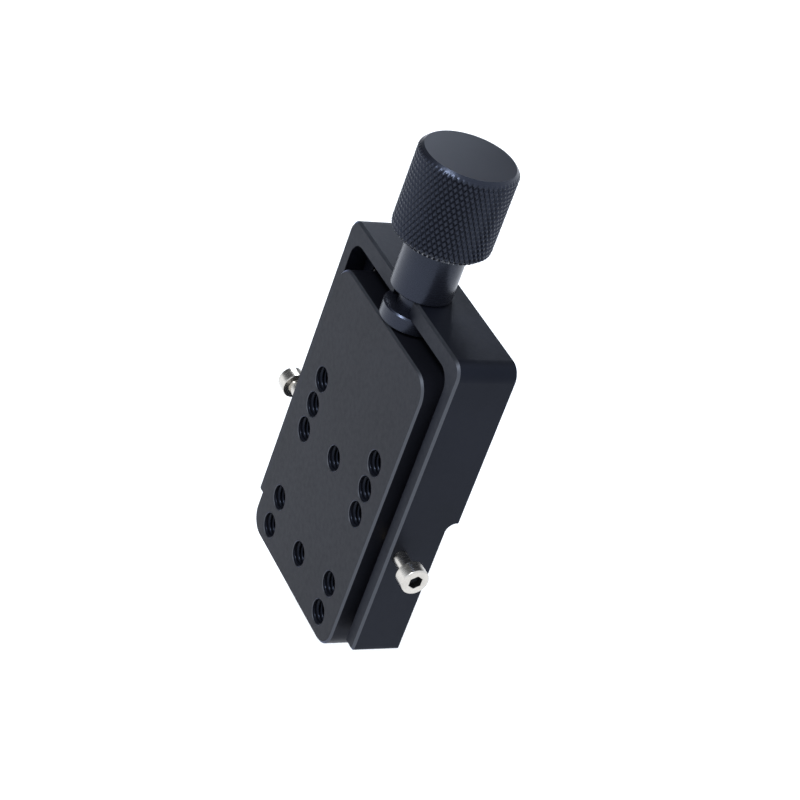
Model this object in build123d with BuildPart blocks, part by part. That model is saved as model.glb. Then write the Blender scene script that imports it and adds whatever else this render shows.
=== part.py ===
"""Screw-driven dovetail slide: a carriage with a pattern of tapped holes rides in a grooved base.

Turning the knurled knob turns the lead screw, which is held endways in a slot in the base's end
wall and draws the carriage along the dovetail. Two cap screws in the rims lock the carriage.

Frame, in millimetres: +Z runs up towards the knob, -Y is the front with the carriage's plate,
+Y is the rear that is bolted to a machine. The origin is the middle of the rear pad's face.
"""
from build123d import *
from math import cos, radians, tan
import os

os.makedirs("parts", exist_ok=True)

# Base block
base_width = 50.0
base_length = 66.0
base_depth = 12.3
pad_length = 35.0  # the thicker upper half of the rear, whose face is the mounting face
pad_height = 2.3  # how far the pad stands out of the lower rear face
step_fillet = 2.1
top_corner_radius = 3.0
bottom_corner_radius = 0.8
base_edge_chamfer = 0.45
pad_edge_chamfer = 0.15
rim_width = 3.0
rim_height = 4.0  # above the ledges beside the groove
rim_corner_radius = 3.5
end_wall = 3.5
mount_spacing_x = 25.0
mount_spacing_z = 15.0
mount_hole_radius = 2.0  # M4 thread

# Dovetail groove, and how the carriage fits it
dovetail_angle = 30.0  # flank, measured from the Y axis
groove_depth = 3.5
lip_half_width = 17.0
groove_cutter_radius = 4.0  # wide end of the dovetail cutter, left in the groove's closed end
slide_clearance = 0.05
floor_clearance = 0.25
tail_edge_chamfer = 0.3

# Gib strip and its grub screws
gib_thickness = 1.5
gib_back_clearance = 0.1
gib_edge_clearance = 0.2
gib_end_margin = 0.5
gib_screw_spacing = 20.0
gib_screw_radius = 1.5  # M3 x 5, dog point
gib_screw_length = 5.0
gib_dog_radius = 0.8
gib_dog_length = 1.8
gib_dimple_depth = 0.7
gib_dimple_clearance = 0.1
gib_hex = 1.5
gib_hex_depth = 1.5

# Carriage
carriage_width = 40.0
carriage_length = 63.5
carriage_proud = 2.2  # its front face, ahead of the rims
carriage_top_clearance = 0.45  # to the collar, with the slide fully up
carriage_corner_radius = 4.5
carriage_edge_chamfer = 0.4
hole_radius = 2.5  # M5 thread
hole_depth = 7.0
hole_mouth_chamfer = 0.12
hole_half_spacing = 13.2
row_heights = (4.6, 11.6, 28.6, 34.6, 40.6)  # above the carriage's lower end
middle_hole_heights = (8.1, 31.6)

# Lead screw, nut and sleeve
screw_setback = 3.1  # the axis, behind the rims' front faces
screw_radius = 2.5  # M5 x 0.8
screw_tip_chamfer = 0.5
thread_clearance = 0.05
bore_radius = 3.1
bore_end_wall = 1.1  # from the bore's end to the highest middle hole
bore_end_clearance = 0.5
nut_radius = 3.6
nut_length = 10.0
nut_recess = 0.2
stem_radius = 6.0
neck_radius = 3.5
neck_clearance = 0.2
end_play = 0.05
collar_length = 3.2
collar_clearance = 0.3
collar_pocket_radius = 1.5
sleeve_edge_chamfer = 0.3
spigot_radius = 5.0

# Knob
knob_radius = 9.65  # over the knurl's tips
knob_length = 17.7
knob_lift = 11.0  # from the base's top end to the knob's lower face
knob_top_chamfer = 0.9
knob_bottom_chamfer = 1.1
knob_bore_depth = 13.0
knob_screw_radius = 2.0  # M4 x 6
knob_screw_length = 6.0
knob_screw_height = 5.0  # above the knob's lower face
knob_screw_flat = 0.3  # depth of the flat that it bears on
knob_hex = 2.0
knob_hex_depth = 2.0

# Clamp screws in the rims
clamp_height = 23.1  # above the base's lower end
clamp_setback = 2.5  # behind the rims' front faces
clamp_screw_radius = 1.5  # M3, 8 long on the right and 6 on the left
right_head_standoff = 4.35  # from the base's side to the head, with the clamp slack
left_head_standoff = 3.45
clamp_hole_clearance = 0.05
clamp_head_radius = 2.75
clamp_head_length = 3.0
clamp_head_chamfer = 0.25
clamp_hex = 2.5
clamp_hex_depth = 1.5
clamp_pad_radius = 1.2
right_pad_length = 1.1
left_pad_length = 2.2
clamp_pad_chamfer = 0.15
clamp_gap = 0.25  # pad to carriage with the clamp slack, half a turn of the screw

# Places worked out from the sizes
base_top = pad_length / 2
base_bottom = base_top - base_length
step_z = -pad_length / 2
wall_z = base_top - end_wall
side_x = base_width / 2
rim_y = -base_depth
ledge_y = rim_y + rim_height
floor_y = ledge_y + groove_depth
front_y = rim_y - carriage_proud
shoulder_y = ledge_y - slide_clearance
tail_y = floor_y - floor_clearance
collar_top = wall_z - end_play
collar_bottom = collar_top - collar_length
carriage_top = collar_bottom - carriage_top_clearance
carriage_bottom = carriage_top - carriage_length
bore_bottom = carriage_bottom + max(middle_hole_heights) + hole_radius + bore_end_wall
screw_y = rim_y + screw_setback
screw_tip_z = bore_bottom + bore_end_clearance
knob_z = base_top + knob_lift
spigot_top = knob_z + knob_bore_depth
slope = tan(radians(dovetail_angle))
across = 1 / cos(radians(dovetail_angle))  # turns a thickness into a width along X
gib_offset = (gib_thickness + gib_back_clearance) * across
gib_width = gib_thickness * across
gib_y = (ledge_y + floor_y) / 2
gib_bottom = base_bottom + gib_end_margin
gib_top = wall_z - groove_cutter_radius - gib_end_margin
gib_screw_heights = [(gib_bottom + gib_top) / 2 + step * gib_screw_spacing for step in (-1, 0, 1)]
clamp_y = rim_y + clamp_setback
clamp_z = base_bottom + clamp_height


def groove_half_width(y):
    """Half width of the dovetail at depth y: the lip's, widened by the flank's slope."""
    return lip_half_width + (y - ledge_y) * slope


def front_plane(y):
    """A plane at depth y whose sketches are seen from the front: X to the right and Z up."""
    return Plane.XZ.offset(-y)


def side_plane(side, x, y, z):
    """A plane across the X axis whose normal points outwards, for holes and screws in a side."""
    return Plane((side * x, y, z), z_dir=(side, 0, 0))


# The base is milled from one black anodised bar: two rims, two ledges and the groove between them.
with BuildPart() as base:
    with BuildSketch(front_plane(rim_y)):
        with Locations((0, base_top)):
            Rectangle(base_width, base_length, align=(Align.CENTER, Align.MAX))
    extrude(amount=-base_depth)
    fillet(base.edges().filter_by(Axis.Y).group_by(Axis.Z)[-1], top_corner_radius)
    fillet(base.edges().filter_by(Axis.Y).group_by(Axis.Z)[0], bottom_corner_radius)

    # The lower rear face lies back from the pad, with the cutter's round left in the corner.
    with BuildSketch(Plane.YZ):
        with Locations((0, step_z)):
            Rectangle(2 * pad_height, base_length, align=(Align.CENTER, Align.MAX))
    extrude(amount=base_width, both=True, mode=Mode.SUBTRACT)
    step_edges = base.edges().filter_by(Axis.X).group_by(Axis.Z)
    step_corner = [group for group in step_edges if abs(group[0].center().Z - step_z) < step_fillet][0]
    fillet(step_corner.sort_by(Axis.Y)[0], step_fillet)

    # The edges are broken round the front face, and less round the pad.
    chamfer(base.faces().sort_by(Axis.Y)[0].edges(), base_edge_chamfer)
    chamfer(base.faces().filter_by(Axis.Y).sort_by(Axis.Y)[-1].edges(), pad_edge_chamfer)

    # The relief between the rims is closed by the end wall and open at the lower end.
    with BuildSketch(front_plane(rim_y)):
        with Locations((0, wall_z)):
            RectangleRounded(
                base_width - 2 * rim_width, 2 * base_length, rim_corner_radius, align=(Align.CENTER, Align.MAX)
            )
    extrude(amount=-rim_height, mode=Mode.SUBTRACT)

    # The dovetail groove is wider on the left by the gib. Its closed end has the cutter's shape.
    for y in (ledge_y, floor_y):
        half_width = groove_half_width(y)
        undercut = (floor_y - y) * slope
        with BuildSketch(front_plane(y)):
            with Locations((-gib_offset / 2, wall_z - undercut)):
                RectangleRounded(
                    2 * half_width + gib_offset,
                    2 * base_length,
                    groove_cutter_radius - undercut,
                    align=(Align.CENTER, Align.MAX),
                )
    loft(mode=Mode.SUBTRACT)

    # Behind the end wall a milled pocket clears the collar, and a slot in the wall holds the neck.
    with BuildSketch(front_plane(rim_y)):
        with Locations((0, wall_z)):
            RectangleRounded(
                2 * (stem_radius + collar_pocket_radius),
                collar_length + collar_clearance,
                collar_pocket_radius,
                align=(Align.CENTER, Align.MAX),
            )
    extrude(amount=-(screw_setback + stem_radius + collar_clearance), mode=Mode.SUBTRACT)
    with BuildSketch(Plane.XY.offset(wall_z)):
        with Locations((0, screw_y)):
            Circle(neck_radius + neck_clearance)
            Rectangle(2 * (neck_radius + neck_clearance), base_depth, align=(Align.CENTER, Align.MAX))
    extrude(amount=end_wall, mode=Mode.SUBTRACT)

    # Four tapped holes go through the pad, three reach the gib and one in each rim takes a clamp screw.
    with Locations(Plane((0, 0, 0), x_dir=(-1, 0, 0), z_dir=(0, 1, 0))):
        with GridLocations(mount_spacing_x, mount_spacing_z, 2, 2):
            Hole(mount_hole_radius, depth=-floor_y)
    for height in gib_screw_heights:
        with Locations(side_plane(-1, side_x, gib_y, height)):
            Hole(gib_screw_radius, depth=side_x - lip_half_width)
    for side in (-1, 1):
        with Locations(side_plane(side, side_x, clamp_y, clamp_z)):
            Hole(clamp_screw_radius + clamp_hole_clearance, depth=side_x - carriage_width / 2)
base.part.label = "base"
export_step(base.part, "parts/base.step")

# The gib is a ground steel strip of parallelogram section, with a dimple for each dog point.
gib_front_y = ledge_y + gib_edge_clearance
gib_rear_y = floor_y - gib_edge_clearance
gib_face_x = groove_half_width(gib_y) + gib_width
dimple_x = gib_face_x - gib_dimple_depth
with BuildPart() as gib_strip:
    with BuildSketch(Plane.XY.offset(gib_bottom)):
        with BuildLine():
            Polyline(
                (-groove_half_width(gib_front_y), gib_front_y),
                (-groove_half_width(gib_rear_y), gib_rear_y),
                (-groove_half_width(gib_rear_y) - gib_width, gib_rear_y),
                (-groove_half_width(gib_front_y) - gib_width, gib_front_y),
                close=True,
            )
        make_face()
    extrude(amount=gib_top - gib_bottom)
    for height in gib_screw_heights:
        with Locations(side_plane(-1, side_x, gib_y, height)):
            Hole(gib_dog_radius + gib_dimple_clearance, depth=side_x - dimple_x)
gib_strip.part.label = "gib_strip"
export_step(gib_strip.part, "parts/gib_strip.step")

# Three dog-point grub screws press the gib against the carriage.
with BuildPart() as gib_set_screws:
    for height in gib_screw_heights:
        socket_end = side_plane(-1, dimple_x + gib_screw_length, gib_y, height)
        with BuildSketch(socket_end):
            Circle(gib_screw_radius)
        extrude(amount=gib_dog_length - gib_screw_length)
        with BuildSketch(socket_end):
            Circle(gib_dog_radius)
        extrude(amount=-gib_screw_length)
        with BuildSketch(socket_end):
            RegularPolygon(gib_hex / 2, 6, major_radius=False)
        extrude(amount=-gib_hex_depth, mode=Mode.SUBTRACT)
gib_set_screws.part.label = "gib_set_screws"
export_step(gib_set_screws.part, "parts/gib_set_screws.step")

# The carriage is one plate with the dovetail on its rear, tapped in front and bored for the screw.
flank_gap = slide_clearance * across
neck_half_width = groove_half_width(shoulder_y) - flank_gap
tail_half_width = groove_half_width(tail_y) - flank_gap
plate_half_width = carriage_width / 2
with BuildPart() as carriage:
    with BuildSketch(Plane.XY.offset(carriage_bottom)):
        with BuildLine():
            Polyline(
                (plate_half_width, front_y),
                (plate_half_width, shoulder_y),
                (neck_half_width, shoulder_y),
                (tail_half_width, tail_y),
                (-tail_half_width, tail_y),
                (-neck_half_width, shoulder_y),
                (-plate_half_width, shoulder_y),
                (-plate_half_width, front_y),
                close=True,
            )
        make_face()
    extrude(amount=carriage_length)
    chamfer(carriage.edges().filter_by(Axis.Z).group_by(Axis.Y)[-1], tail_edge_chamfer)
    with BuildSketch(front_plane(front_y)):
        with Locations((0, carriage_bottom)):
            RectangleRounded(
                carriage_width, carriage_length, carriage_corner_radius, align=(Align.CENTER, Align.MIN)
            )
    extrude(amount=front_y - tail_y, mode=Mode.INTERSECT)
    chamfer(carriage.faces().sort_by(Axis.Y)[0].edges(), carriage_edge_chamfer)

    # Tapped holes, with their mouths just countersunk.
    hole_places = [(x, height) for x in (-hole_half_spacing, hole_half_spacing) for height in row_heights]
    hole_places += [(0, height) for height in middle_hole_heights]
    for x, height in hole_places:
        with Locations(Plane((x, front_y, carriage_bottom + height), z_dir=(0, -1, 0))):
            Hole(hole_radius, depth=hole_depth)
    mouths = carriage.faces().sort_by(Axis.Y)[0].edges().filter_by(GeomType.CIRCLE)
    chamfer([edge for edge in mouths if edge.radius < hole_radius + hole_mouth_chamfer], hole_mouth_chamfer)

    # The bore for the lead screw, widened at the top for the pressed nut.
    with Locations(Plane((0, screw_y, carriage_top), z_dir=(0, 0, 1))):
        CounterBoreHole(bore_radius, nut_radius, nut_recess + nut_length, depth=carriage_top - bore_bottom)
carriage.part.label = "carriage"
export_step(carriage.part, "parts/carriage.step")

# The lead nut is a brass bush pressed into the top of the carriage's bore.
with BuildPart() as lead_nut:
    with BuildSketch(Plane.XY.offset(carriage_top - nut_recess)):
        with Locations((0, screw_y)):
            Circle(nut_radius)
            Circle(screw_radius + thread_clearance, mode=Mode.SUBTRACT)
    extrude(amount=-nut_length)
lead_nut.part.label = "lead_nut"
export_step(lead_nut.part, "parts/lead_nut.step")

# The sleeve is turned with a neck that drops into the wall's slot, a collar below it, the stem
# above it and a spigot for the knob.
stem_bottom = base_top + end_play
knob_screw_z = knob_z + knob_screw_height
with BuildPart() as spindle_sleeve:
    with BuildSketch(Plane.YZ):
        with BuildLine():
            Polyline(
                (screw_y, collar_bottom),
                (screw_y + stem_radius, collar_bottom),
                (screw_y + stem_radius, collar_top),
                (screw_y + neck_radius, collar_top),
                (screw_y + neck_radius, stem_bottom),
                (screw_y + stem_radius, stem_bottom),
                (screw_y + stem_radius, knob_z),
                (screw_y + spigot_radius, knob_z),
                (screw_y + spigot_radius, spigot_top),
                (screw_y, spigot_top),
                close=True,
            )
        make_face()
    revolve(axis=Axis((0, screw_y, 0), (0, 0, 1)))
    rings = spindle_sleeve.edges().filter_by(GeomType.CIRCLE)
    chamfer([edge for edge in rings if edge.radius > spigot_radius + sleeve_edge_chamfer], sleeve_edge_chamfer)
    with Locations(Plane((0, screw_y, spigot_top), z_dir=(0, 0, 1))):
        Hole(screw_radius, depth=spigot_top - collar_bottom)
    with Locations(Plane((0, screw_y + spigot_radius, knob_screw_z), z_dir=(0, 1, 0))):
        Hole(knob_screw_radius, depth=spigot_radius)
spindle_sleeve.part.label = "spindle_sleeve"
export_step(spindle_sleeve.part, "parts/spindle_sleeve.step")

# The lead screw is a steel rod through the sleeve, with a flat for the knob's grub screw.
flat_y = screw_y + screw_radius - knob_screw_flat
with BuildPart() as lead_screw:
    with BuildSketch(Plane.XY.offset(screw_tip_z)):
        with Locations((0, screw_y)):
            Circle(screw_radius)
    extrude(amount=spigot_top - screw_tip_z)
    chamfer(lead_screw.faces().sort_by(Axis.Z)[0].edges(), screw_tip_chamfer)
    with BuildSketch(front_plane(flat_y)):
        with Locations((0, knob_screw_z)):
            Rectangle(2 * screw_radius, 2 * knob_screw_radius)
    extrude(amount=-knob_screw_flat, mode=Mode.SUBTRACT)
lead_screw.part.label = "lead_screw"
export_step(lead_screw.part, "parts/lead_screw.step")

# The knob is a blind-bored cylinder that sits on the stem's shoulder. Its knurl is a finish.
with BuildPart() as knurled_knob:
    with BuildSketch(Plane.XY.offset(knob_z)):
        with Locations((0, screw_y)):
            Circle(knob_radius)
    extrude(amount=knob_length)
    chamfer(knurled_knob.faces().sort_by(Axis.Z)[-1].edges(), knob_top_chamfer)
    chamfer(knurled_knob.faces().sort_by(Axis.Z)[0].edges(), knob_bottom_chamfer)
    with Locations(Plane((0, screw_y, knob_z), z_dir=(0, 0, -1))):
        Hole(spigot_radius, depth=knob_bore_depth)
    with Locations(Plane((0, screw_y + knob_radius, knob_screw_z), z_dir=(0, 1, 0))):
        Hole(knob_screw_radius, depth=knob_radius - spigot_radius / 2)
knurled_knob.part.label = "knurled_knob"
export_step(knurled_knob.part, "parts/knurled_knob.step")

# One grub screw in the knob's rear passes through the spigot and bears on the lead screw's flat.
with BuildPart() as knob_set_screw:
    socket_end = Plane((0, flat_y + knob_screw_length, knob_screw_z), z_dir=(0, 1, 0))
    with BuildSketch(socket_end):
        Circle(knob_screw_radius)
    extrude(amount=-knob_screw_length)
    with BuildSketch(socket_end):
        RegularPolygon(knob_hex / 2, 6, major_radius=False)
    extrude(amount=-knob_hex_depth, mode=Mode.SUBTRACT)
knob_set_screw.part.label = "knob_set_screw"
export_step(knob_set_screw.part, "parts/knob_set_screw.step")

# Each clamp is a cap screw through the rim that pushes a brass pad against the carriage's edge.
pad_face_x = carriage_width / 2 + clamp_gap
clamps = (
    (-1, "left", left_head_standoff, left_pad_length),
    (1, "right", right_head_standoff, right_pad_length),
)
for side, name, head_standoff, clamp_pad_length in clamps:
    head_x = side_x + head_standoff
    tip_x = pad_face_x + clamp_pad_length
    with BuildPart() as clamp_pad:
        with BuildSketch(side_plane(side, pad_face_x, clamp_y, clamp_z)):
            Circle(clamp_pad_radius)
        extrude(amount=clamp_pad_length)
        chamfer(clamp_pad.edges().filter_by(GeomType.CIRCLE), clamp_pad_chamfer)
    clamp_pad.part.label = f"clamp_pad_{name}"
    export_step(clamp_pad.part, f"parts/clamp_pad_{name}.step")

    with BuildPart() as clamp_screw:
        with BuildSketch(side_plane(side, tip_x, clamp_y, clamp_z)):
            Circle(clamp_screw_radius)
        extrude(amount=head_x - tip_x)
        with BuildSketch(side_plane(side, head_x, clamp_y, clamp_z)):
            Circle(clamp_head_radius)
        extrude(amount=clamp_head_length)
        head_face = side_plane(side, head_x + clamp_head_length, clamp_y, clamp_z)
        chamfer(clamp_screw.faces().sort_by(Axis((0, 0, 0), (side, 0, 0)))[-1].edges(), clamp_head_chamfer)
        with BuildSketch(head_face):
            RegularPolygon(clamp_hex / 2, 6, major_radius=False)
        extrude(amount=-clamp_hex_depth, mode=Mode.SUBTRACT)
    clamp_screw.part.label = f"clamp_screw_{name}"
    export_step(clamp_screw.part, f"parts/clamp_screw_{name}.step")
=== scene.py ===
"""Looks of a small screw-driven dovetail slide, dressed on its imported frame. All lengths are metres."""
from math import pi, radians

import bpy
import numpy as np
from mathutils import Matrix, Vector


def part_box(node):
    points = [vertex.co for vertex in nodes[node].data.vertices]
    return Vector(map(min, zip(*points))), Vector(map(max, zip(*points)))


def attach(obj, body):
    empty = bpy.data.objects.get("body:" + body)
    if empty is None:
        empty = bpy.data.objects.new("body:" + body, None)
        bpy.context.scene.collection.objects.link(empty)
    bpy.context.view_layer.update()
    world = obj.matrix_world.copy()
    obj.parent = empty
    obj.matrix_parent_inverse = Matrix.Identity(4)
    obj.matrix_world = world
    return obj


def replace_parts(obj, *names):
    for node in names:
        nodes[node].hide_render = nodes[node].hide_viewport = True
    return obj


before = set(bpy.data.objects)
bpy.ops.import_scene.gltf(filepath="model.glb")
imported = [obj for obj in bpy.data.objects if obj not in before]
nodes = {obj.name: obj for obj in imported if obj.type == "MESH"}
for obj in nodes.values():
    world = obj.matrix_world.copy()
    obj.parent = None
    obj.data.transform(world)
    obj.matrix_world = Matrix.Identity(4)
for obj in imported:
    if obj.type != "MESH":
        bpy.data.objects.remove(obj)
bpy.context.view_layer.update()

mm = 0.001
micron = 0.000001


# Base block
# One bar of aluminium, milled, bead-blasted and anodised black. The blast leaves a fine matt grain,
# and the broken edges show thinner, brighter anodising where they are handled.
def plain_material(name, colour, metallic, roughness):
    """A material whose principled shader has these constant values, with its node tree and shader."""
    material = bpy.data.materials.new(name)
    material.use_nodes = True
    shader = material.node_tree.nodes["Principled BSDF"]
    shader.inputs["Base Color"].default_value = (*colour, 1)
    shader.inputs["Metallic"].default_value = metallic
    shader.inputs["Roughness"].default_value = roughness
    return material, material.node_tree, shader


def add_noise(tree, scale, detail, stretch=(1, 1, 1)):
    """Noise over the piece's own coordinates. scale is in cycles a metre, stretch a scale per axis."""
    place = tree.nodes.new("ShaderNodeTexCoord")
    mapping = tree.nodes.new("ShaderNodeMapping")
    mapping.inputs["Scale"].default_value = stretch
    noise = tree.nodes.new("ShaderNodeTexNoise")
    noise.inputs["Scale"].default_value = scale
    noise.inputs["Detail"].default_value = detail
    tree.links.new(place.outputs["Object"], mapping.inputs["Vector"])
    tree.links.new(mapping.outputs["Vector"], noise.inputs["Vector"])
    return noise.outputs["Fac"]


def spread(tree, amount, low, high, start=0.3, end=0.7):
    """Turns an amount that runs from start to end into a number that runs from low to high."""
    span = tree.nodes.new("ShaderNodeMapRange")
    span.inputs["From Min"].default_value = start
    span.inputs["From Max"].default_value = end
    span.inputs["To Min"].default_value = low
    span.inputs["To Max"].default_value = high
    tree.links.new(amount, span.inputs["Value"])
    return span.outputs["Result"]


def tinted(tree, amount, first, second):
    """A colour that runs from the first to the second as the amount runs from 0 to 1. Either may be a
    colour or another node's output."""
    blend = tree.nodes.new("ShaderNodeMix")
    blend.data_type = "RGBA"
    tree.links.new(amount, blend.inputs[0])
    for socket, colour in ((blend.inputs[6], first), (blend.inputs[7], second)):
        if isinstance(colour, tuple):
            socket.default_value = (*colour, 1)
        else:
            tree.links.new(colour, socket)
    return blend.outputs[2]


def mottled(tree, noise, colour, low, high):
    """A colour that wanders between low and high times its value, as the noise does."""
    darker = tuple(low * c for c in colour)
    lighter = tuple(high * c for c in colour)
    return tinted(tree, spread(tree, noise, 0, 1), darker, lighter)


def vary_roughness(tree, shader, noise, roughness, below, above):
    """Lets the roughness wander from so much below its value to so much above it, as the noise does."""
    tree.links.new(spread(tree, noise, roughness - below, roughness + above), shader.inputs["Roughness"])


def add_bump(tree, shader, layers):
    """Stacks bumps on the shader's normal. Each layer is (height output, depth in metres)."""
    normal = None
    for height, depth in layers:
        bump = tree.nodes.new("ShaderNodeBump")
        bump.inputs["Strength"].default_value = 1.0
        bump.inputs["Distance"].default_value = depth
        tree.links.new(height, bump.inputs["Height"])
        if normal:
            tree.links.new(normal, bump.inputs["Normal"])
        normal = bump.outputs["Normal"]
    tree.links.new(normal, shader.inputs["Normal"])


def broken_edges(tree):
    """1 on the 45 degree breaks round the front and rear faces and 0 elsewhere: there, and only there,
    the Y part of the face's normal lies within the margin of the sine of 45 degrees."""
    sine, margin = 0.71, 0.08
    surface = tree.nodes.new("ShaderNodeNewGeometry")
    parts = tree.nodes.new("ShaderNodeSeparateXYZ")
    size = tree.nodes.new("ShaderNodeMath")
    size.operation = "ABSOLUTE"
    near = tree.nodes.new("ShaderNodeMath")
    near.operation = "COMPARE"
    near.inputs[1].default_value = sine
    near.inputs[2].default_value = margin
    tree.links.new(surface.outputs["True Normal"], parts.inputs[0])
    tree.links.new(parts.outputs["Y"], size.inputs[0])
    tree.links.new(size.outputs[0], near.inputs[0])
    return near.outputs[0]


base_black = (0.0028, 0.0031, 0.0048)
blue_sheen = (0.66, 0.75, 1.0)
worn_edge = (0.064, 0.067, 0.075)


def blasted_black(name, colour, roughness, grain, gloss=0.13, sheen=blue_sheen):
    """Black anodised aluminium after blasting, with a grain of that depth in metres."""
    material, tree, shader = plain_material(name, colour, 0.0, roughness)
    shader.inputs["Specular IOR Level"].default_value = gloss
    shader.inputs["Specular Tint"].default_value = (*sheen, 1)
    fine = add_noise(tree, 5200, 3)
    coarse = add_noise(tree, 900, 2)
    cloud = add_noise(tree, 60, 2)
    edges = broken_edges(tree)
    shade = tinted(tree, edges, mottled(tree, cloud, colour, 1, 1.6), worn_edge)
    tree.links.new(shade, shader.inputs["Base Color"])
    tree.links.new(spread(tree, edges, 0, 0.9, 0, 1), shader.inputs["Metallic"])
    vary_roughness(tree, shader, coarse, roughness, 0.04, 0.05)
    add_bump(tree, shader, [(fine, grain), (coarse, grain)])
    return material


def dress(node, material):
    """Gives a CAD node this material alone. Its mesh stays as it is."""
    node.data.materials.clear()
    node.data.materials.append(material)


dress(nodes["base"], blasted_black("base_anodised", base_black, 0.38, 9 * micron))


# Carriage
# The same bar stock and finish as the base, blasted a little finer and dyed a less blue black, with
# bare sharp mouths at its twelve tapped holes.
plate_black = (0.0036, 0.0037, 0.0050)
plate_sheen = (0.62, 0.66, 0.86)
plate_finish = blasted_black("carriage_anodised", plate_black, 0.40, 8 * micron, sheen=plate_sheen)
dress(nodes["carriage"], plate_finish)


# Tapped threads
# M5 threads in the carriage, M4 in the rear pad and in the knob's rear, and M3 where the gib's grub
# screws enter the base. Each is a ridge left by the tap, as black as the metal round it.
m5_radius = 2.5 * mm
m5_pitch = 0.8 * mm
m4_radius = 2.0 * mm
m4_pitch = 0.7 * mm
m3_radius = 1.5 * mm
m3_pitch = 0.5 * mm
ridge_steps = 40
ridge_root = 0.03 * mm
ridge_foot = 0.42
ridge_top = 0.1
ridge_crease = 65


def frame_of(direction):
    """Two unit vectors across a direction, and the direction itself, as rows."""
    along = np.array(direction, float)
    first = np.cross(along, (0, 0, 1.0) if abs(along[2]) < 0.9 else (1.0, 0, 0))
    first /= np.linalg.norm(first)
    return np.array([first, np.cross(along, first), along])


def tube_faces(rows, columns):
    """Quads of a tube over a grid of points whose columns close round on themselves."""
    row, column = np.meshgrid(np.arange(rows - 1) * columns, np.arange(columns), indexing="ij")
    after = (column + 1) % columns
    return np.stack([row + column, row + after, row + columns + after, row + columns + column], -1)


def closed_mesh(name, tubes, faces=None, bend=35):
    """A mesh of tubes of points (tube, row, column, 3), each closed by a flat face over its first row
    and its last. It is shaded smooth, with a crease where it bends by more than that angle."""
    copies, rows, columns = tubes.shape[:3]
    if faces is None:
        faces = tube_faces(rows, columns).reshape(-1, 4)
    ends = np.stack([np.arange(columns)[::-1], np.arange(columns) + (rows - 1) * columns])
    all_faces = []
    for start in np.arange(copies) * rows * columns:
        all_faces += (faces + start).tolist() + (ends + start).tolist()
    mesh = bpy.data.meshes.new(name)
    mesh.from_pydata(tubes.reshape(-1, 3), [], all_faces)
    mesh.shade_smooth()
    mesh.set_sharp_from_angle(angle=radians(bend))
    return mesh


def add_object(name, data):
    """Puts a mesh, a lamp or a camera in the scene as a new object."""
    thing = bpy.data.objects.new(name, data)
    bpy.context.scene.collection.objects.link(thing)
    return thing


def piece(mesh, material, body):
    """Puts a finished mesh in the scene as a piece that rides on that body."""
    thing = add_object(mesh.name, mesh)
    mesh.materials.append(material)
    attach(thing, body)
    return thing


def tapped_threads(name, mouths, direction, radius, pitch, length):
    """Ridges in the holes with these mouths. At the angle t a ridge lies (t / turn + 0.5) pitches below
    the mouth. Its section is a blunt triangle with its feet in the wall and its crest half a pitch
    in, and it fades out over a quarter turn at both ends."""
    across, up, along = frame_of(direction)
    turns = length / pitch - 1
    angle = np.linspace(0, 2 * pi * turns, int(turns * ridge_steps))
    fade = np.clip(np.minimum(angle, angle[::-1]) / (pi / 2), 0.05, 1)
    foot = np.full_like(angle, radius + ridge_root)
    crest = radius - 0.5 * pitch * fade
    reach = np.stack([foot, crest, crest, foot], 1)
    section = np.array([ridge_foot, ridge_top, -ridge_top, -ridge_foot])
    depth = pitch * (angle[:, None] / (2 * pi) + 0.5 + section * fade[:, None])
    ring = np.cos(angle)[:, None] * across + np.sin(angle)[:, None] * up
    ridge = reach[..., None] * ring[:, None] - depth[..., None] * along
    return closed_mesh(name, np.array(mouths, float)[:, None, None] + ridge, bend=ridge_crease)


plate_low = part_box("carriage")[0]
plate_hole_depth = 7.0 * mm
hole_columns = (-13.2 * mm, 13.2 * mm)
row_heights = (4.6 * mm, 11.6 * mm, 28.6 * mm, 34.6 * mm, 40.6 * mm)
middle_heights = (8.1 * mm, 31.6 * mm)
plate_mouths = [(x, plate_low.y, plate_low.z + h) for x in hole_columns for h in row_heights]
plate_mouths += [(0, plate_low.y, plate_low.z + h) for h in middle_heights]
thread_black = blasted_black("tapped_anodised", base_black, 0.26, 2 * micron, gloss=0.12)
plate_threads = tapped_threads("carriage_threads", plate_mouths, (0, -1, 0), m5_radius, m5_pitch,
                               plate_hole_depth)
piece(plate_threads, thread_black, "carriage")

pad_hole_depth = 4.5 * mm
pad_columns = (-12.5 * mm, 12.5 * mm)
pad_rows = (-7.5 * mm, 7.5 * mm)
pad_mouths = [(x, 0, z) for x in pad_columns for z in pad_rows]
pad_threads = tapped_threads("rear_pad_threads", pad_mouths, (0, 1, 0), m4_radius, m4_pitch,
                             pad_hole_depth)
piece(pad_threads, thread_black, "base")

base_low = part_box("base")[0]
gib_low, gib_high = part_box("gib_set_screws")
gib_y = (gib_low.y + gib_high.y) / 2
gib_middle = (gib_low.z + gib_high.z) / 2
gib_steps = (-20 * mm, 0, 20 * mm)
gib_mouths = [(base_low.x, gib_y, gib_middle + step) for step in gib_steps]
gib_threads = tapped_threads("gib_screw_threads", gib_mouths, (-1, 0, 0), m3_radius, m3_pitch,
                             gib_low.x - base_low.x)
piece(gib_threads, thread_black, "base")


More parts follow.
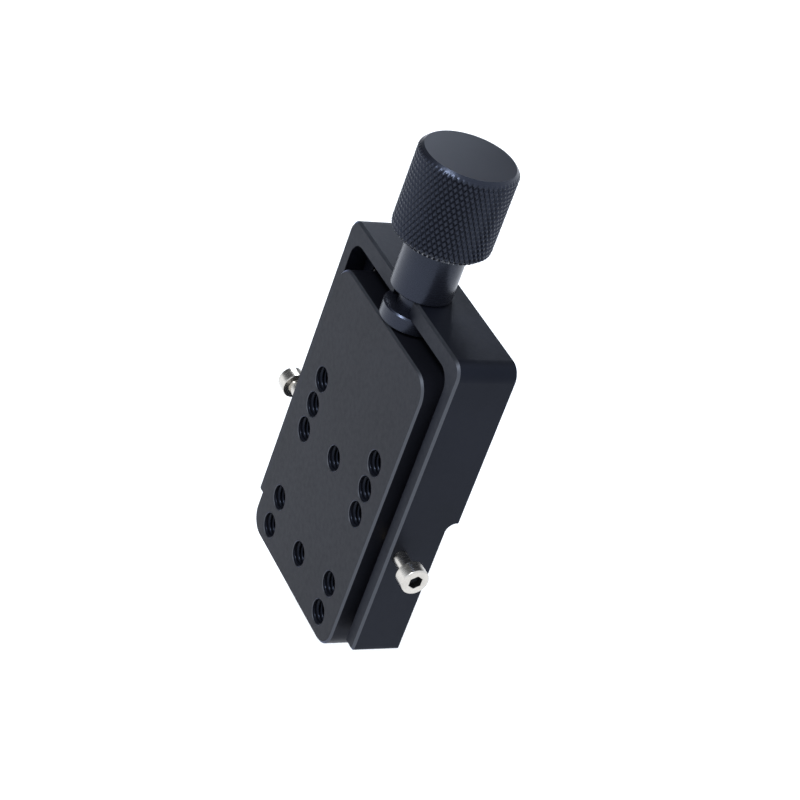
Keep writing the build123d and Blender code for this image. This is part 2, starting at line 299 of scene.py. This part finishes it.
# Knob
# Turned from black anodised aluminium, with a rolled diamond knurl that runs over its lower edge and
# ends in a turned chamfer at the top. It sits on the stem's shoulder, held by a grub screw behind.
knob_low, knob_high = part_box("knurled_knob")
axis_y = (knob_low.y + knob_high.y) / 2
knob_radius = knob_high.x
knob_bottom_cut = 1.1 * mm
knob_top_cut = 0.9 * mm
knob_top_break = 0.04 * mm
knob_top_rings = (knob_top_break, 0.3 * mm, 2.0 * mm, 5.0 * mm, 8.0 * mm)
knob_bore_radius = 5.0 * mm
knob_bore_depth = 13 * mm
knob_crease = 25
knurl_count = 58
knurl_samples = 6
knurl_angle = radians(28)
knurl_depth = 0.33 * mm
knurl_tip = 0.75
knurl_segments = knurl_count * knurl_samples
knurl_step = 2 * pi * knob_radius / knurl_count / np.tan(knurl_angle) / knurl_samples


def saw(value):
    """A triangle wave: 0 at whole numbers and 1 half way between them."""
    return 1 - np.abs(2 * (value % 1) - 1)


def knurl_height(turn, climb):
    """How far the knurl stands out, from 0 in its grooves to 1 on its tips: the lesser of two
    triangle waves that wind opposite ways, cut off flat at the tips."""
    return np.minimum(np.minimum(saw(turn + climb), saw(turn - climb)), knurl_tip) / knurl_tip


def knob_mesh(name):
    """Rings from the bore's end down the bore, under the knob, up its side and in over its top. The
    knurl is cut into the lesser of the lower edge's cone and the cylinder, and the top edge's cone
    cuts off the knurl. Each quad there is split along the diagonal that lies nearer the knurl."""
    low, high = knob_low.z, knob_high.z
    rows = int((high - low) / knurl_step)
    climb, turn = np.meshgrid(np.arange(rows), np.arange(knurl_segments), indexing="ij")
    climb, turn = climb / knurl_samples, turn / knurl_samples
    height = low + np.arange(rows)[:, None] * knurl_step
    rolled = np.minimum(knob_radius, knob_radius - knob_bottom_cut + height - low)
    rolled = rolled - knurl_depth * (1 - knurl_height(turn, climb))
    side = np.minimum(rolled, knob_radius - knob_top_cut + high - height)
    rim = knob_radius - knob_top_cut
    bore = [(knob_bore_radius, low + knob_bore_depth), (knob_bore_radius, low)]
    top = [(rim, high - knob_top_break)] + [(rim - inward, high) for inward in knob_top_rings]
    full = np.ones(knurl_segments)
    radius = np.vstack([[r * full for r, z in bore], side, [r * full for r, z in top]])
    level = np.vstack([[[z] for r, z in bore], height, [[z] for r, z in top]]) + 0 * full
    angle = np.arange(knurl_segments) * 2 * pi / knurl_segments
    points = np.stack([radius * np.cos(angle), axis_y + radius * np.sin(angle), level], -1)

    quads = tube_faces(*radius.shape)
    half = 0.5 / knurl_samples
    true = knurl_height(turn + half, climb + half)[:-1]
    corner = knurl_height(turn, climb)
    after = np.roll(corner, -1, 1)
    first = np.abs((corner[:-1] + after[1:]) / 2 - true) < np.abs((after[:-1] + corner[1:]) / 2 - true)
    first = np.pad(first, ((len(bore), len(quads) - len(bore) - len(first)), (0, 0)))[..., None]
    one = np.where(first, quads[..., [0, 1, 2]], quads[..., [0, 1, 3]])
    two = np.where(first, quads[..., [0, 2, 3]], quads[..., [1, 2, 3]])
    return closed_mesh(name, points[None], np.stack([one, two]).reshape(-1, 3), bend=knob_crease)


def turned(name, centre, direction, profile, segments, bend=35):
    """Rings about an axis. Each is (radius, distance along the axis), and the radius is one number or
    one for each segment. A point is centre + radius * (cos, sin) across + distance along."""
    across, up, along = frame_of(direction)
    angle = np.arange(segments) * 2 * pi / segments
    ring = np.cos(angle)[:, None] * across + np.sin(angle)[:, None] * up
    radius = np.stack([np.broadcast_to(r, segments) for r, at in profile])
    distance = np.array([at for r, at in profile])
    points = np.array(centre) + radius[..., None] * ring + distance[:, None, None] * along
    return closed_mesh(name, points[None], bend=bend)


def turned_black(name, colour, roughness, ring_depth, gloss=0.35):
    """Black anodised turned work: the tool's fine rings lie round the axis and catch the light."""
    material, tree, shader = plain_material(name, colour, 0.0, roughness)
    shader.inputs["Specular IOR Level"].default_value = gloss
    shader.inputs["Specular Tint"].default_value = (*blue_sheen, 1)
    rings = add_noise(tree, 900, 3, (0.02, 0.02, 12))
    grain = add_noise(tree, 4000, 2)
    tree.links.new(mottled(tree, grain, colour, 1, 1.5), shader.inputs["Base Color"])
    vary_roughness(tree, shader, rings, roughness, 0.04, 0.05)
    add_bump(tree, shader, [(rings, ring_depth), (grain, 2 * micron)])
    return material


knob_black = (0.0046, 0.0049, 0.0070)
knob_finish = turned_black("knob_anodised", knob_black, 0.28, 3 * micron)
knob = piece(knob_mesh("knob"), knob_finish, "spindle")
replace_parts(knob, "knurled_knob")

grub_low, grub_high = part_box("knob_set_screw")
grub_height = (grub_low.z + grub_high.z) / 2
grub_thread_length = 1.5 * mm
drill_start = 3 * mm
drill_end = 12 * mm
drill_segments = 48
drill_profile = [(m4_radius, drill_start), (m4_radius, drill_end)]
drill_mesh = turned("drill", (0, axis_y, grub_height), (0, 1, 0), drill_profile, drill_segments)
drill = add_object("drill", drill_mesh)
hole = knob.modifiers.new("grub_hole", "BOOLEAN")
hole.operation = "DIFFERENCE"
hole.solver = "EXACT"
hole.object = drill
drilled = bpy.data.meshes.new_from_object(knob.evaluated_get(bpy.context.evaluated_depsgraph_get()))
knob.modifiers.clear()
knob.data = drilled
bpy.data.objects.remove(drill)
drilled.shade_smooth()
drilled.set_sharp_from_angle(angle=radians(knob_crease))
grub_mouth = [(0, knob_high.y - knurl_depth, grub_height)]
grub_threads = tapped_threads("knob_threads", grub_mouth, (0, 1, 0), m4_radius, m4_pitch,
                              grub_thread_length)
piece(grub_threads, knob_finish, "spindle")
screw_black = (0.012, 0.012, 0.012)
dress(nodes["knob_set_screw"], turned_black("grub_screw_black", screw_black, 0.25, 2 * micron))


# Sleeve
# The smooth stem, the neck in the wall's slot and the collar are one turned black piece, finished
# brighter than the milled parts, with finely broken edges.
sleeve_finish = turned_black("sleeve_anodised", knob_black, 0.27, 1.5 * micron, gloss=0.37)
dress(nodes["spindle_sleeve"], sleeve_finish)


# Lead screw and nut
# An M5 x 0.8 screw of bright steel, with a flat for the knob's grub screw, and the turned brass bush
# that it draws along.
steel = (0.50, 0.50, 0.50)
brass = (0.78, 0.58, 0.28)
lead_segments = 40
lead_row_step = 0.1 * mm
lead_tip_radius = 2.0 * mm
lead_flat_reach = 2.2 * mm
lead_flat_half = 2.0 * mm
lead_flat_end = 0.1 * mm


def bright_metal(name, colour, roughness, mark_depth, stretch):
    """Bare metal with fine tool or grinding marks that run across the stretched axis."""
    material, tree, shader = plain_material(name, colour, 1.0, roughness)
    marks = add_noise(tree, 900, 3, stretch)
    patches = add_noise(tree, 500, 2)
    tree.links.new(mottled(tree, patches, colour, 0.82, 1), shader.inputs["Base Color"])
    vary_roughness(tree, shader, marks, roughness, 0.03, 0.06)
    add_bump(tree, shader, [(marks, mark_depth)])
    return material


def thread_radius(distance, segments, crest, pitch):
    """Radii of an outside thread at each distance along it: a triangle wave of the distance in pitches
    less the turn, with its tops and bottoms cut flat, between the crest and 0.6 pitch below it."""
    phase = np.asarray(distance)[:, None] / pitch - np.arange(segments) / segments
    return crest - 0.6 * pitch * (1 - np.clip(2 * saw(phase) - 0.5, 0, 1))


def lead_screw_profile():
    """The thread runs from the chamfered tip to the sleeve, and the plain shank goes on inside it. On
    the flat the radius at an angle is the flat's reach over the sine, where that is the lesser."""
    sleeve_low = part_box("spindle_sleeve")[0]
    low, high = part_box("lead_screw")
    threaded = np.arange(low.z, sleeve_low.z, lead_row_step)
    crests = thread_radius(threaded, lead_segments, m5_radius, m5_pitch)
    crests = np.minimum(crests, (lead_tip_radius + threaded - low.z)[:, None])
    angle = np.arange(lead_segments) * 2 * pi / lead_segments
    flat = np.minimum(m5_radius, lead_flat_reach / np.maximum(np.sin(angle), 0.01))
    round_half = lead_flat_half + lead_flat_end
    plain = [(m5_radius, sleeve_low.z), (m5_radius, grub_height - round_half)]
    plain += [(flat, grub_height - lead_flat_half), (flat, grub_height + lead_flat_half)]
    plain += [(m5_radius, grub_height + round_half), (m5_radius, high.z)]
    return list(zip(crests, threaded)) + plain


screw_steel = bright_metal("screw_steel", steel, 0.24, 2 * micron, (1, 1, 4))
lead_screw = turned("threaded_lead_screw", (0, axis_y, 0), (0, 0, 1), lead_screw_profile(),
                    lead_segments, bend=30)
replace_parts(piece(lead_screw, screw_steel, "spindle"), "lead_screw")
dress(nodes["lead_nut"], bright_metal("nut_brass", brass, 0.30, 3 * micron, (1, 1, 0.1)))


# Gib strip and its grub screws
# A ground steel strip that takes the play out of the groove's left flank. Three black dog-point grub
# screws press on it through the base's side.
dress(nodes["gib_strip"], bright_metal("gib_steel", steel, 0.28, 2 * micron, (1, 1, 0.05)))
dress(nodes["gib_set_screws"], turned_black("gib_screw_black", screw_black, 0.25, 2 * micron))


# Clamp screws
# Polished stainless M3 socket cap screws through the rims, each with a brass pad at its tip. The
# sockets are painted black inside, a painted shade in the hollow, and the thread ends short of the
# smooth shank that shows.
clamp_segments = 48
clamp_row_step = 0.0625 * mm
clamp_thread_length = 3.2 * mm
clamp_thread_end = 0.2 * mm
clamp_tip_cut = 0.35 * mm
clamp_fillet = 0.15 * mm
clamp_fillet_middle = 0.04 * mm
clamp_head_radius = 2.75 * mm
clamp_head_length = 3.0 * mm
clamp_head_break = 0.12 * mm
clamp_rim = 0.35 * mm
clamp_across_flats = 2.5 * mm
clamp_socket_depth = 1.5 * mm
clamp_socket_break = 0.08 * mm
clamp_drill_radius = 0.3 * mm
clamp_drill_depth = 0.25 * mm


def clamp_screw_profile(length):
    """From the tip: the thread, the smooth shank, the head's underside, side and rounded rim, then the
    hexagonal socket, whose radius at an angle is half its width across flats over the cosine."""
    threaded = np.arange(0, clamp_thread_length, clamp_row_step)
    crests = thread_radius(threaded, clamp_segments, m3_radius, m3_pitch)
    crests = np.minimum(crests, (m3_radius - clamp_tip_cut + threaded)[:, None])
    rows = list(zip(crests, threaded)) + [(m3_radius, clamp_thread_length + clamp_thread_end)]

    under = length - clamp_head_length
    rows += [(m3_radius, under - clamp_fillet)]
    rows += [(m3_radius + clamp_fillet_middle, under - clamp_fillet_middle)]
    rows += [(m3_radius + clamp_fillet, under), (clamp_head_radius - clamp_head_break, under)]
    rows += [(clamp_head_radius, under + clamp_head_break)]
    middle_radius = clamp_head_radius - clamp_rim
    middle = length - clamp_rim
    bevel = np.linspace(0, pi / 2, 6)
    rows += [(middle_radius + clamp_rim * np.cos(t), middle + clamp_rim * np.sin(t)) for t in bevel]

    angle = np.arange(clamp_segments) * 2 * pi / clamp_segments
    from_flat = (angle + pi / 6) % (pi / 3) - pi / 6
    hexagon = clamp_across_flats / 2 / np.cos(from_flat)
    floor_at = length - clamp_socket_depth
    rows += [(hexagon + clamp_socket_break, length), (hexagon, length - clamp_socket_break)]
    rows += [(hexagon, floor_at), (clamp_drill_radius, floor_at - clamp_drill_depth)]
    return rows


polished = bright_metal("polished_stainless", (0.57, 0.535, 0.48), 0.24, 0.6 * micron, (4, 1, 1))
# Painted shade: a dark material laid on the inside of the hex sockets, where shade falls.
socket_painted_shade = turned_black("socket_painted_shade", (0.010, 0.010, 0.010), 0.30, 2 * micron)
for side, direction in (("left", -1), ("right", 1)):
    pad_finish = bright_metal("pad_" + side + "_brass", brass, 0.30, 3 * micron, (4, 1, 1))
    dress(nodes["clamp_pad_" + side], pad_finish)

    low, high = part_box("clamp_screw_" + side)
    tip = high.x if direction < 0 else low.x
    centre = (tip, (low.y + high.y) / 2, (low.z + high.z) / 2)
    profile = clamp_screw_profile(high.x - low.x)
    screw_mesh = turned("clamp_screw_detail_" + side, centre, (direction, 0, 0), profile,
                        clamp_segments, bend=30)
    screw = piece(screw_mesh, polished, side + "_clamp_screw")
    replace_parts(screw, "clamp_screw_" + side)

    # The socket's faces lie below its broken edge. The last two faces close the tip and the drill's end.
    # These faces take the painted shade: the socket's walls, its floor and the drill's end are painted
    # black.
    screw_mesh.materials.append(socket_painted_shade)
    in_socket = np.zeros(len(screw_mesh.polygons), int)
    in_socket[(len(profile) - 3) * clamp_segments:-2] = 1
    in_socket[-1] = 1
    screw_mesh.polygons.foreach_set("material_index", in_socket)


# Floor and light
# A plain white floor, low enough for the carriage's full travel and lit a little from within, as a
# light table is, which keeps the slide's shadow faint. The soft surround is darker at the left.
carriage_travel = 20 * mm
floor_gap = 0.5 * mm
floor_half = 4.0
floor_z = plate_low.z - carriage_travel - floor_gap
corners = ((-floor_half, -floor_half), (floor_half, -floor_half), (floor_half, floor_half),
           (-floor_half, floor_half))
floor_mesh = bpy.data.meshes.new("floor")
floor_mesh.from_pydata([(x, y, floor_z) for x, y in corners], [], [(0, 1, 2, 3)])
floor_paint, _, floor_shader = plain_material("floor_paint", (0.72, 0.72, 0.72), 0.0, 0.9)
floor_shader.inputs["Emission Color"].default_value = (1, 1, 1, 1)
floor_shader.inputs["Emission Strength"].default_value = 0.38
floor_mesh.materials.append(floor_paint)
add_object("floor", floor_mesh)

sky_blue = (0.84, 0.90, 1.0)
sky_bright = 1.42
sky_dark = 0.12
dark_side = (-0.85, 0.0, 0.53)
dark_start = 0.45
dark_full = 0.8
surround = bpy.data.worlds.new("surround")
surround.use_nodes = True
sky = surround.node_tree
toward = sky.nodes.new("ShaderNodeTexCoord")
to_dark = sky.nodes.new("ShaderNodeVectorMath")
to_dark.operation = "DOT_PRODUCT"
to_dark.inputs[1].default_value = dark_side
sky.links.new(toward.outputs["Generated"], to_dark.inputs[0])
sky_strength = spread(sky, to_dark.outputs["Value"], sky_bright, sky_dark, dark_start, dark_full)
sky.links.new(sky_strength, sky.nodes["Background"].inputs["Strength"])
sky.nodes["Background"].inputs["Color"].default_value = (*sky_blue, 1)
bpy.context.scene.world = surround


def soft_lamp(name, place, target, size, power):
    """A square area lamp at a place, facing a target."""
    lamp = bpy.data.lights.new(name, "AREA")
    lamp.shape = "SQUARE"
    lamp.size = size
    lamp.energy = power
    lamp.color = sky_blue
    away = np.array(place, float) - np.array(target, float)
    away /= np.linalg.norm(away)
    rotation = Matrix(frame_of(away)).transposed().to_4x4()
    rotation.translation = place
    add_object(name, lamp).matrix_world = rotation


soft_lamp("key_lamp", place=(-0.985, 0.295, 0.64), target=(0, 0, 0.02), size=0.42, power=7.2)
soft_lamp("edge_lamp", place=(0.12, -0.59, 0.84), target=(0, 0, 0.04), size=0.17, power=7.0)


# Camera
# It stands to the right, in front of and above the slide, turned a little about its own axis. Its
# place and its three directions were fitted to the slide's outline and holes.
camera_place = (334.9 * mm, -240.3 * mm, 235.7 * mm)
camera_right = (0.3896, 0.8691, 0.3048)
camera_up = (-0.5947, -0.0153, 0.8038)
camera_back = (0.7032, -0.4944, 0.5109)
lens = bpy.data.cameras.new("camera")
lens.lens = 113.2
lens.sensor_width = 36.0
stance = Matrix((camera_right, camera_up, camera_back)).transposed().to_4x4()
stance.translation = camera_place
camera = add_object("camera", lens)
camera.matrix_world = stance
bpy.context.scene.camera = camera
bpy.context.scene.view_settings.view_transform = "Standard"
